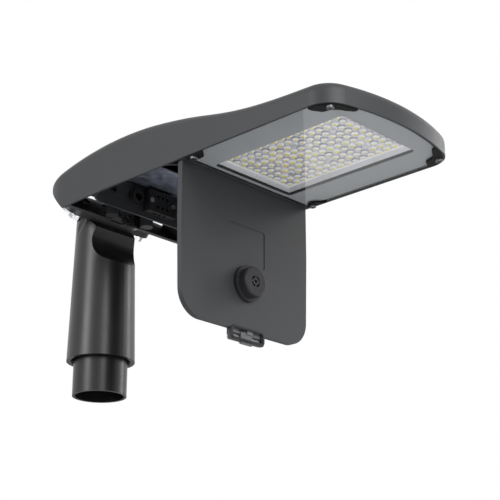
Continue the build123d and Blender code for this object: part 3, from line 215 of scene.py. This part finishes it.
def lens_acrylic(name, pitch):
    """Moulded acrylic over phosphor: milky white, and yellow where a dome shows its chip."""
    material, tree, shader = new_surface(name, Roughness=0.12, IOR=1.49, Transmission_Weight=0.2,
                                         Specular_IOR_Level=0.5)
    # Lens axes stand on odd half pitches, so a place's fraction of a pitch tells how far they are
    pitches = object_place(tree, (1 / pitch, 1 / pitch, 0.0))
    cell = add_node(tree, "ShaderNodeVectorMath", {"operation": "FRACTION"}, links={0: pitches})
    middle = add_node(tree, "ShaderNodeVectorMath", {"operation": "SUBTRACT"}, {1: (0.5, 0.5, 0.0)},
                      {0: cell.outputs["Vector"]})
    away = add_node(tree, "ShaderNodeVectorMath", {"operation": "LENGTH"},
                    links={0: middle.outputs["Vector"]})
    # No two domes show their chip alike: each gets its own size of yellow
    number = add_node(tree, "ShaderNodeVectorMath", {"operation": "FLOOR"}, links={0: pitches})
    chance = add_node(tree, "ShaderNodeTexWhiteNoise", links={"Vector": number.outputs["Vector"]})
    shrunk = add_node(tree, "ShaderNodeMath", {"operation": "MULTIPLY_ADD"}, {1: 0.16},
                      {0: chance.outputs["Value"], 2: away.outputs["Value"]})
    tone = add_node(tree, "ShaderNodeValToRGB", links={"Fac": shrunk.outputs["Value"]})
    # Distances in pitches: the chip's yellow, the clear dome, painted shade at its foot, the plate
    chip, dome = tone.color_ramp.elements
    chip.position, chip.color = 0.26, linear("#efe07c")
    dome.position, dome.color = 0.33, linear("#fafaff")
    # The dark grey stop at 0.52 is painted shade where each dome meets the plate
    for distance, shade in ((0.46, "#ececf2"), (0.52, "#94949e"), (0.6, "#e0e0e8")):
        tone.color_ramp.elements.new(distance).color = linear(shade)
    tree.links.new(tone.outputs["Color"], shader.inputs["Base Color"])
    return material


def printed(name, colour):
    """Ceramic enamel, screen printed and fired: matt, even, with mesh marks of about 0.3 mm."""
    material, tree, shader = new_surface(name, Roughness=0.6, IOR=1.5, Specular_IOR_Level=0.2)
    marks = add_node(tree, "ShaderNodeTexNoise", values={"Scale": 3300.0, "Detail": 1.0},
                     links={"Vector": object_place(tree)})
    tone = add_node(tree, "ShaderNodeValToRGB", links={"Fac": marks.outputs["Fac"]})
    shade_ramp(tone, colour, 0.96, 1.04)
    tree.links.new(tone.outputs["Color"], shader.inputs["Base Color"])
    return material


def floor_finish():
    """Matt paint, rolled: plain and pale, so that it keeps shadows and runs into the background."""
    material, _, shader = new_surface("pale matt floor", Roughness=0.9)
    shader.inputs["Base Color"].default_value = linear("#efefef")
    return material


def paint_node(name, material):
    """Gives a CAD node its finish."""
    slots = nodes[name].data.materials
    slots.clear()
    slots.append(material)


def rounded_outline(low, high, radius, steps=6):
    """Corners of a rectangle with rounded corners, in order, as pairs of numbers."""
    points = []
    for turn, (across, up) in enumerate(((1, 1), (-1, 1), (-1, -1), (1, -1))):
        centre = (high[0] - radius if across > 0 else low[0] + radius,
                  high[1] - radius if up > 0 else low[1] + radius)
        for step in range(steps + 1):
            angle = math.pi / 2 * (turn + step / steps)
            points.append((centre[0] + radius * math.cos(angle),
                           centre[1] + radius * math.sin(angle)))
    return points


def add_hanging_sheet(mesh, outer, inner, rear, front):
    """Adds an upright sheet across the light, between two outlines or full where inner is empty."""
    outer_rear, outer_front, inner_rear, inner_front = (
        [mesh.verts.new((level, across, up)) for across, up in outline]
        for outline in (outer, inner) for level in (rear, front))
    strips = [(outer_rear, outer_front)]
    if inner:
        strips += [(inner_rear, inner_front), (outer_rear, inner_rear), (outer_front, inner_front)]
    else:
        mesh.faces.new(outer_rear)
        mesh.faces.new(outer_front)
    for index in range(len(outer)):
        after = (index + 1) % len(outer)
        for one, other in strips:
            mesh.faces.new((one[index], one[after], other[after], other[index]))


def make_piece(mesh, name, material, body, bevel=0.0):
    """Turns a bmesh into a finished piece that rides on a body."""
    bmesh.ops.recalc_face_normals(mesh, faces=mesh.faces)
    data = bpy.data.meshes.new(name)
    mesh.to_mesh(data)
    mesh.free()
    piece = bpy.data.objects.new(name, data)
    bpy.context.scene.collection.objects.link(piece)
    if bevel:
        rounding = piece.modifiers.new("rounding", "BEVEL")
        rounding.width = bevel
        rounding.segments = 2
        rounding.angle_limit = math.radians(50)
        settle(piece)
    piece.data.materials.append(material)
    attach(piece, body)


def settle(piece):
    """Replaces a piece's mesh by what its modifiers make of it, and drops them."""
    bpy.context.view_layer.update()
    evaluated = piece.evaluated_get(bpy.context.evaluated_depsgraph_get())
    solid = bpy.data.meshes.new_from_object(evaluated)
    piece.modifiers.clear()
    piece.data = solid


class StudioSizes(bpy.types.PropertyGroup):
    """Where the camera stands and how the studio is lit."""
    camera_place: bpy.props.FloatVectorProperty(
        name="Camera place", description="Where the camera stands",
        default=(1.1117, -0.9225, -0.346), subtype="XYZ", unit="LENGTH")
    heading: bpy.props.FloatProperty(
        name="Heading", description="Camera's turn about the vertical",
        default=math.radians(43.7), subtype="ANGLE")
    tilt: bpy.props.FloatProperty(
        name="Tilt", description="How far the camera looks up",
        default=math.radians(19.85), subtype="ANGLE")
    focal_length: bpy.props.FloatProperty(
        name="Focal length", description="Focal length in millimetres for a sensor 36 mm wide",
        default=95.72, unit="CAMERA")
    floor_height: bpy.props.FloatProperty(
        name="Floor height", description="Height of the studio floor", default=-1.2, unit="LENGTH")
    world_level: bpy.props.FloatProperty(
        name="World level", description="Strength of the even light from all sides", default=0.5)
    key_level: bpy.props.FloatProperty(
        name="Key level", description="Power of the large lamp before the nose",
        default=32.0, unit="POWER")
    left_level: bpy.props.FloatProperty(
        name="Left strip level", description="Power of the strip lamp left of the pole",
        default=10.0, unit="POWER")
    right_level: bpy.props.FloatProperty(
        name="Right strip level", description="Power of the strip lamp right of the pole",
        default=5.0, unit="POWER")
    low_level: bpy.props.FloatProperty(
        name="Low level", description="Power of the lamp below the glass",
        default=5.5, unit="POWER")


class PaintColours(bpy.types.PropertyGroup):
    """Colours of the paints and of the print on the glass."""
    housing: bpy.props.FloatVectorProperty(
        name="Housing", description="Powder coat of the housing and its door",
        default=linear("#2f3032"), size=4, subtype="COLOR")
    adaptor: bpy.props.FloatVectorProperty(
        name="Adaptor", description="Powder coat of the pole adaptor",
        default=linear("#131314"), size=4, subtype="COLOR")
    pole: bpy.props.FloatVectorProperty(
        name="Pole", description="Powder coat of the pole",
        default=linear("#0e0e0e"), size=4, subtype="COLOR")
    border: bpy.props.FloatVectorProperty(
        name="Border", description="Enamel printed inside the glass",
        default=linear("#96999c"), size=4, subtype="COLOR")


class GlassSizes(bpy.types.PropertyGroup):
    """Sizes of what lies behind the glass."""
    border_inset: bpy.props.FloatProperty(
        name="Border inset", description="Distance of the printed border from the glass's edge",
        default=0.9 * MM, unit="LENGTH")
    border_film: bpy.props.FloatProperty(
        name="Border film", description="Thickness of the printed border",
        default=0.06 * MM, unit="LENGTH")
    window_rear: bpy.props.FloatProperty(
        name="Window rear", description="Distance of the clear window from the glass's rear edge",
        default=5.1 * MM, unit="LENGTH")
    window_front: bpy.props.FloatProperty(
        name="Window front", description="Distance of the clear window from the glass's front edge",
        default=26.7 * MM, unit="LENGTH")
    window_half: bpy.props.FloatProperty(
        name="Window half width", description="Half the width of the clear window",
        default=56 * MM, unit="LENGTH")
    window_corner: bpy.props.FloatProperty(
        name="Window corner", description="Corner radius of the clear window",
        default=4 * MM, unit="LENGTH")
    lens_pitch: bpy.props.FloatProperty(
        name="Lens pitch", description="Distance between neighbouring lenses",
        default=10 * MM, unit="LENGTH")
    lens_count: bpy.props.IntProperty(
        name="Lens count", description="Lenses along each side of a module", default=5)
    lens_radius: bpy.props.FloatProperty(
        name="Lens radius", description="Radius of a lens at its foot",
        default=4.4 * MM, unit="LENGTH")
    lens_height: bpy.props.FloatProperty(
        name="Lens height", description="How far a lens stands out of its plate",
        default=2.6 * MM, unit="LENGTH")
    plate_corner: bpy.props.FloatProperty(
        name="Plate corner", description="Corner radius of a module's plate",
        default=1.5 * MM, unit="LENGTH")


class LatchSizes(bpy.types.PropertyGroup):
    """Sizes of the trim around the door's latch and of the tray behind it."""
    half: bpy.props.FloatProperty(
        name="Half width", description="Half the width of the latch trim",
        default=24.0 * MM, unit="LENGTH")
    bar: bpy.props.FloatProperty(
        name="Bar", description="Width of the trim's bar", default=2.4 * MM, unit="LENGTH")
    height: bpy.props.FloatProperty(
        name="Height", description="Height of the latch trim",
        default=14.2 * MM, unit="LENGTH")
    proud: bpy.props.FloatProperty(
        name="Proud", description="How far the trim stands out of the door",
        default=0.9 * MM, unit="LENGTH")
    corner: bpy.props.FloatProperty(
        name="Corner", description="Corner radius of the latch trim",
        default=4.0 * MM, unit="LENGTH")
    face_step: bpy.props.FloatProperty(
        name="Face step", description="How far the door's face stands before the thumb piece",
        default=0.4 * MM, unit="LENGTH")
    sunk: bpy.props.FloatProperty(
        name="Sunk", description="How deep the trim is let into the door",
        default=0.05 * MM, unit="LENGTH")
    edge_round: bpy.props.FloatProperty(
        name="Edge rounding", description="Width of the rounding along the trim's edges",
        default=0.35 * MM, unit="LENGTH")
    tray_inset: bpy.props.FloatProperty(
        name="Tray inset", description="How much narrower the tray is than the trim on each side",
        default=0.8 * MM, unit="LENGTH")
    tray_wall: bpy.props.FloatProperty(
        name="Tray wall", description="Thickness of the tray",
        default=1.0 * MM, unit="LENGTH")
    tray_gap: bpy.props.FloatProperty(
        name="Tray gap", description="Gap between the tray and the slide, and how far its lip laps",
        default=0.2 * MM, unit="LENGTH")


class STREET_OT_stage(bpy.types.Operator):
    """Sets up the camera, the floor, the lamps and the white background"""
    bl_idname = "street.stage"
    bl_label = "Studio"

    def execute(self, context):
        sizes = context.scene.street_studio
        camera_data = bpy.data.cameras.new("camera")
        camera_data.lens = sizes.focal_length
        camera_data.sensor_width = 36.0
        camera_data.clip_end = 50.0
        camera = bpy.data.objects.new("camera", camera_data)
        context.scene.collection.objects.link(camera)
        ahead = Vector((-math.sin(sizes.heading) * math.cos(sizes.tilt),
                        math.cos(sizes.heading) * math.cos(sizes.tilt),
                        math.sin(sizes.tilt)))
        camera.matrix_world = facing(sizes.camera_place, ahead)
        context.scene.camera = camera

        # Even light on the piece, and white to the camera, in reflections and through glass
        world = bpy.data.worlds.new("studio")
        world.use_nodes = True
        tree = world.node_tree
        even = tree.nodes["Background"]
        even.inputs["Color"].default_value = (1.0, 1.0, 1.0, 1.0)
        even.inputs["Strength"].default_value = sizes.world_level
        white = add_node(tree, "ShaderNodeBackground",
                         values={"Color": (1.0, 1.0, 1.0, 1.0), "Strength": 1.0})
        path = add_node(tree, "ShaderNodeLightPath")
        seen = add_node(tree, "ShaderNodeMath", {"operation": "MAXIMUM"},
                        links={0: path.outputs["Is Camera Ray"], 1: path.outputs["Is Glossy Ray"]})
        any_view = add_node(tree, "ShaderNodeMath", {"operation": "MAXIMUM"},
                            links={0: seen.outputs["Value"],
                                   1: path.outputs["Is Transmission Ray"]})
        mix = add_node(tree, "ShaderNodeMixShader",
                       links={"Fac": any_view.outputs["Value"], 1: even.outputs["Background"],
                              2: white.outputs["Background"]})
        tree.links.new(mix.outputs["Shader"], tree.nodes["World Output"].inputs["Surface"])
        context.scene.world = world

        floor_mesh = bpy.data.meshes.new("floor")
        floor_mesh.from_pydata([(x * FLOOR_HALF, y * FLOOR_HALF, sizes.floor_height)
                                for x, y in ((-1, -1), (1, -1), (1, 1), (-1, 1))],
                               [], [(0, 1, 2, 3)])
        floor = bpy.data.objects.new("floor", floor_mesh)
        context.scene.collection.objects.link(floor)
        floor_mesh.materials.append(floor_finish())

        add_lamp(context, "key", place=(1.75, -0.45, 0.85), aim=(0.2, 0.0, 0.1),
                 size=(1.4, 1.2), watts=sizes.key_level)
        add_lamp(context, "left strip", place=(-0.1, -1.2, 0.4), aim=(0.0, 0.0, 0.4),
                 size=(0.42, 1.1), watts=sizes.left_level)
        add_lamp(context, "right strip", place=(0.5, 1.1, 0.4), aim=(0.0, 0.0, 0.4),
                 size=(0.12, 1.1), watts=sizes.right_level)
        add_lamp(context, "low", place=(0.75, -0.15, -0.95), aim=(0.36, 0.0, 0.19),
                 size=(0.9, 0.9), watts=sizes.low_level)
        return {"FINISHED"}


def facing(place, ahead):
    """Placement at a point, with the view along a direction."""
    return Matrix.Translation(place) @ ahead.to_track_quat("-Z", "Y").to_matrix().to_4x4()


def add_lamp(context, name, place, aim, size, watts):
    """Adds an area lamp, as wide and high as size says, that looks at a point."""
    data = bpy.data.lights.new(name, "AREA")
    data.shape = "RECTANGLE"
    data.size, data.size_y = size
    data.energy = watts
    lamp = bpy.data.objects.new(name, data)
    context.scene.collection.objects.link(lamp)
    lamp.matrix_world = facing(place, Vector(aim) - Vector(place))


class STREET_OT_border(bpy.types.Operator):
    """Prints the grey border inside the glass"""
    bl_idname = "street.border"
    bl_label = "Glass border"

    def execute(self, context):
        sizes = context.scene.street_glass
        top = GLASS_HIGH[2] - sizes.border_film
        # The rim of the glass itself, drawn in by the inset, is the border's outer edge
        mesh = bmesh.new()
        mesh.from_mesh(nodes["glass"].data)
        bmesh.ops.remove_doubles(mesh, verts=mesh.verts, dist=0.01 * MM)
        below = GLASS_HIGH[2] - 0.1 * MM
        others = [face for face in mesh.faces
                  if face.normal.z <= 0.9 or face.calc_center_median().z <= below]
        bmesh.ops.delete(mesh, geom=others, context="FACES")
        middle = (Vector(GLASS_LOW) + Vector(GLASS_HIGH)) / 2
        half = (Vector(GLASS_HIGH) - Vector(GLASS_LOW)) / 2
        for vert in mesh.verts:
            away = vert.co - middle
            vert.co = (middle.x + away.x * (1 - sizes.border_inset / half.x),
                       middle.y + away.y * (1 - sizes.border_inset / half.y), top)
        inside = [edge for edge in mesh.edges if not edge.is_boundary]
        bmesh.ops.delete(mesh, geom=mesh.faces[:], context="FACES_ONLY")
        bmesh.ops.delete(mesh, geom=inside, context="EDGES")
        window = [mesh.verts.new((*point, top)) for point in rounded_outline(
            (GLASS_LOW[0] + sizes.window_rear, -sizes.window_half),
            (GLASS_HIGH[0] - sizes.window_front, sizes.window_half), sizes.window_corner)]
        for first, second in zip(window, window[1:] + window[:1]):
            mesh.edges.new((first, second))
        bmesh.ops.triangle_fill(mesh, use_beauty=True, edges=mesh.edges[:])
        print_layer = bmesh.ops.extrude_face_region(mesh, geom=mesh.faces[:])["geom"]
        lowered = [item for item in print_layer if isinstance(item, bmesh.types.BMVert)]
        bmesh.ops.translate(mesh, verts=lowered, vec=(0.0, 0.0, -sizes.border_film))
        enamel = printed("grey enamel, screen printed", context.scene.street_paint.border)
        make_piece(mesh, "glass_border", enamel, "luminaire")
        return {"FINISHED"}


class STREET_OT_lenses(bpy.types.Operator):
    """Moulds the lens modules, each a plate with domes over its chips"""
    bl_idname = "street.lenses"
    bl_label = "Lens modules"

    def execute(self, context):
        sizes = context.scene.street_glass
        boxes = [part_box(name) for name in LENS_NODES]
        first_low, first_high = boxes[0]
        width = first_high[0] - first_low[0]
        plate = first_high[2] - first_low[2] - sizes.lens_height
        tree, sockets = lens_tree(lens_acrylic("acrylic, moulded", sizes.lens_pitch))
        points = bpy.data.meshes.new("lens places")
        points.from_pydata([((low[0] + high[0]) / 2, (low[1] + high[1]) / 2,
                             low[2] + sizes.lens_height) for low, high in boxes], [], [])
        piece = bpy.data.objects.new("lens_modules", points)
        context.scene.collection.objects.link(piece)
        field = piece.modifiers.new("lens field", "NODES")
        field.node_group = tree
        for name, value in (("Pitch", sizes.lens_pitch), ("Count", sizes.lens_count),
                            ("Radius", sizes.lens_radius), ("Height", sizes.lens_height),
                            ("Width", width), ("Plate", plate), ("Corner", sizes.plate_corner)):
            field[sockets[name]] = value
        settle(piece)
        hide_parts(*LENS_NODES)
        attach(piece, "luminaire")
        return {"FINISHED"}


def lens_tree(material):
    """Geometry Nodes for lens modules: at each point a plate, with domes but none at its middle."""
    tree = bpy.data.node_groups.new("lens field", "GeometryNodeTree")
    tree.interface.new_socket("Points", in_out="INPUT", socket_type="NodeSocketGeometry")
    sockets = {}
    for name in ("Pitch", "Radius", "Height", "Width", "Plate", "Corner"):
        sockets[name] = tree.interface.new_socket(
            name, in_out="INPUT", socket_type="NodeSocketFloat").identifier
    sockets["Count"] = tree.interface.new_socket(
        "Count", in_out="INPUT", socket_type="NodeSocketInt").identifier
    tree.interface.new_socket("Lenses", in_out="OUTPUT", socket_type="NodeSocketGeometry")
    given = tree.nodes.new("NodeGroupInput").outputs

    # Grid of lens places without its middle, where the module's screw sits
    gaps = add_node(tree, "ShaderNodeMath", {"operation": "SUBTRACT"}, {1: 1.0},
                    {0: given["Count"]})
    span = add_node(tree, "ShaderNodeMath", {"operation": "MULTIPLY"},
                    links={0: gaps.outputs["Value"], 1: given["Pitch"]})
    grid = add_node(tree, "GeometryNodeMeshGrid",
                    links={"Size X": span.outputs["Value"], "Size Y": span.outputs["Value"],
                           "Vertices X": given["Count"], "Vertices Y": given["Count"]})
    place = add_node(tree, "GeometryNodeInputPosition")
    away = add_node(tree, "ShaderNodeVectorMath", {"operation": "LENGTH"},
                    links={0: place.outputs["Position"]})
    middle = add_node(tree, "ShaderNodeMath", {"operation": "LESS_THAN"}, {1: 1 * MM},
                      {0: away.outputs["Value"]})
    places = add_node(tree, "GeometryNodeDeleteGeometry", {"domain": "POINT"},
                      links={"Geometry": grid.outputs["Mesh"],
                             "Selection": middle.outputs["Value"]})

    # Dome: the lower half of a flattened ball
    ball = add_node(tree, "GeometryNodeMeshUVSphere",
                    values={"Segments": 10, "Rings": 6, "Radius": 1.0})
    heights = add_node(tree, "ShaderNodeSeparateXYZ", links={"Vector": place.outputs["Position"]})
    upper = add_node(tree, "ShaderNodeMath", {"operation": "GREATER_THAN"}, {1: 0.0},
                     {0: heights.outputs["Z"]})
    bowl = add_node(tree, "GeometryNodeDeleteGeometry", {"domain": "FACE"},
                    links={"Geometry": ball.outputs["Mesh"], "Selection": upper.outputs["Value"]})
    size = add_node(tree, "ShaderNodeCombineXYZ",
                    links={"X": given["Radius"], "Y": given["Radius"], "Z": given["Height"]})
    dome = add_node(tree, "GeometryNodeTransform",
                    links={"Geometry": bowl.outputs["Geometry"], "Scale": size.outputs["Vector"]})
    domes = add_node(tree, "GeometryNodeInstanceOnPoints",
                     links={"Points": places.outputs["Geometry"],
                            "Instance": dome.outputs["Geometry"]})

    # Plate with rounded corners above the domes
    square = add_node(tree, "GeometryNodeCurvePrimitiveQuadrilateral",
                      links={"Width": given["Width"], "Height": given["Width"]})
    rounded = add_node(tree, "GeometryNodeFilletCurve", {"mode": "POLY"}, {"Count": 4},
                       {"Curve": square.outputs["Curve"], "Radius": given["Corner"]})
    face = add_node(tree, "GeometryNodeFillCurve", links={"Curve": rounded.outputs["Curve"]})
    walls = add_node(tree, "GeometryNodeExtrudeMesh", {"mode": "FACES"}, {"Individual": False},
                     {"Mesh": face.outputs["Mesh"], "Offset Scale": given["Plate"]})
    under = add_node(tree, "GeometryNodeFlipFaces", links={"Mesh": face.outputs["Mesh"]})
    slab = add_node(tree, "GeometryNodeJoinGeometry")
    for part in (walls.outputs["Mesh"], under.outputs["Mesh"]):
        tree.links.new(part, slab.inputs["Geometry"])
    sewn = add_node(tree, "GeometryNodeMergeByDistance", values={"Distance": 0.01 * MM},
                    links={"Geometry": slab.outputs["Geometry"]})

    module = add_node(tree, "GeometryNodeJoinGeometry")
    for part in (sewn.outputs["Geometry"], domes.outputs["Instances"]):
        tree.links.new(part, module.inputs["Geometry"])
    modules = add_node(tree, "GeometryNodeInstanceOnPoints",
                       links={"Points": given["Points"], "Instance": module.outputs["Geometry"]})
    solid = add_node(tree, "GeometryNodeRealizeInstances",
                     links={"Geometry": modules.outputs["Instances"]})
    dressed = add_node(tree, "GeometryNodeSetMaterial", values={"Material": material},
                       links={"Geometry": solid.outputs["Geometry"]})
    outlet = tree.nodes.new("NodeGroupOutput")
    tree.links.new(dressed.outputs["Geometry"], outlet.inputs["Lenses"])
    return tree, sockets


class STREET_OT_latch(bpy.types.Operator):
    """Frames the latch with black trim and closes its back"""
    bl_idname = "street.latch"
    bl_label = "Latch trim"

    def execute(self, context):
        sizes = context.scene.street_latch
        middle = (SLIDE_LOW[1] + SLIDE_HIGH[1]) / 2
        low = (middle - sizes.half, DOOR_FOOT)
        high = (middle + sizes.half, DOOR_FOOT + sizes.height)
        outer = rounded_outline(low, high, sizes.corner)
        inner = rounded_outline((low[0] + sizes.bar, low[1] + sizes.bar),
                                (high[0] - sizes.bar, high[1] - sizes.bar),
                                sizes.corner - sizes.bar / 2)
        face = SLIDE_HIGH[0] + sizes.face_step
        mesh = bmesh.new()
        add_hanging_sheet(mesh, outer, inner, face - sizes.sunk, face + sizes.proud)
        trim = moulded("black polyamide, moulded", linear("#111112"), rough=0.35)
        make_piece(mesh, "latch_trim", trim, "door", bevel=sizes.edge_round)

        # Shallow tray behind the slide, open towards it, so no daylight shows past the latch
        wall = sizes.tray_wall
        floor = SLIDE_LOW[0] - sizes.tray_gap
        tray_low = (low[0] + sizes.tray_inset, low[1])
        tray_high = (high[0] - sizes.tray_inset, high[1])
        outer = rounded_outline(tray_low, tray_high, 2 * wall)
        inner = rounded_outline((tray_low[0] + wall, tray_low[1] + wall),
                                (tray_high[0] - wall, tray_high[1] - wall), wall)
        mesh = bmesh.new()
        add_hanging_sheet(mesh, outer, [], floor - wall, floor)
        add_hanging_sheet(mesh, outer, inner, floor, SLIDE_LOW[0] + sizes.tray_gap)
        make_piece(mesh, "latch_back", moulded("grey polyamide, moulded", linear("#939497")),
                   "door")
        return {"FINISHED"}


class STREET_OT_finishes(bpy.types.Operator):
    """Gives the CAD nodes their finishes"""
    bl_idname = "street.finishes"
    bl_label = "Finishes"

    def execute(self, context):
        paint = context.scene.street_paint
        by_slot = {
            "housing_paint": powder_coat("anthracite powder coat, sprayed", paint.housing),
            "adaptor_paint": powder_coat("anthracite powder coat on casting", paint.adaptor,
                                         rough=0.34, level=0.45),
            "pole_paint": powder_coat("dark powder coat on tube", paint.pole,
                                      rough=0.34, level=0.4),
            "clip_paint": powder_coat("matt black e-coat, dipped", linear("#121212"),
                                      rough=0.6, level=0.15),
            "stainless": steel("stainless steel, turned", linear("#b4b5b8")),
            "galvanised": galvanised("galvanised sheet, pressed", linear("#8f95a3")),
            "glass": clear_pane("toughened float glass", linear("#fdfefe"), 0.02),
            "rubber": moulded("silicone rubber, moulded", linear("#0b0b0b"), rough=0.65),
            "dark_mask": powder_coat("black lacquer on sheet, sprayed", linear("#111112"),
                                     level=0.15),
            "reflector": moulded("white polycarbonate, moulded", linear("#dcdce0"), rough=0.4),
            "board": moulded("white solder lacquer, screen printed", linear("#eeeeec"),
                             rough=0.35),
            "phosphor": moulded("phosphor in silicone, dispensed", linear("#e6d24a"), rough=0.3),
            "lens": bpy.data.materials["acrylic, moulded"],
            "dark_plastic": moulded("polyamide, moulded", linear("#1e1e1f")),
            "grey_plastic": moulded("dark polycarbonate, moulded", linear("#242426"), level=0.2),
            "driver_case": powder_coat("driver case, painted", linear("#2c2c2e")),
        }
        for part in frame["record"]["subparts"]:
            if "node" in part:
                paint_node(part["node"], by_slot[part["material_slot"]])
        # Nodes that look unlike the rest of their slot
        paint_node("clip_screws",
                   steel("stainless steel, blackened", linear("#6e6f72"), rough=0.4))
        # The module screws' steel is much lighter than real steel: painted glints
        paint_node("module_screws", steel("stainless steel, lightened for painted glints", linear("#f0f0f2"), rough=0.45))
        paint_node("latch_slide",
                   moulded("dark grey polyamide, moulded", linear("#5c5d60"), rough=0.45))
        return {"FINISHED"}


class STREET_PT_panel(bpy.types.Panel):
    """Lists the steps that dress the street light"""
    bl_idname = "STREET_PT_panel"
    bl_label = "Street light"
    bl_space_type = "VIEW_3D"
    bl_region_type = "UI"
    bl_category = "Street light"

    def draw(self, context):
        for operator in OPERATORS:
            self.layout.operator(operator.bl_idname)


OPERATORS = (STREET_OT_stage, STREET_OT_border, STREET_OT_lenses, STREET_OT_latch,
             STREET_OT_finishes)
CLASSES = (StudioSizes, PaintColours, GlassSizes, LatchSizes, *OPERATORS, STREET_PT_panel)


def register():
    for cls in CLASSES:
        bpy.utils.register_class(cls)
    bpy.types.Scene.street_studio = bpy.props.PointerProperty(type=StudioSizes)
    bpy.types.Scene.street_paint = bpy.props.PointerProperty(type=PaintColours)
    bpy.types.Scene.street_glass = bpy.props.PointerProperty(type=GlassSizes)
    bpy.types.Scene.street_latch = bpy.props.PointerProperty(type=LatchSizes)


def unregister():
    del bpy.types.Scene.street_latch
    del bpy.types.Scene.street_glass
    del bpy.types.Scene.street_paint
    del bpy.types.Scene.street_studio
    for cls in reversed(CLASSES):
        bpy.utils.unregister_class(cls)


def main():
    register()
    bpy.context.scene.view_settings.view_transform = "Standard"
    bpy.ops.street.stage()
    bpy.ops.street.border()
    bpy.ops.street.lenses()
    bpy.ops.street.latch()
    bpy.ops.street.finishes()


if __name__ == "__main__":
    main()
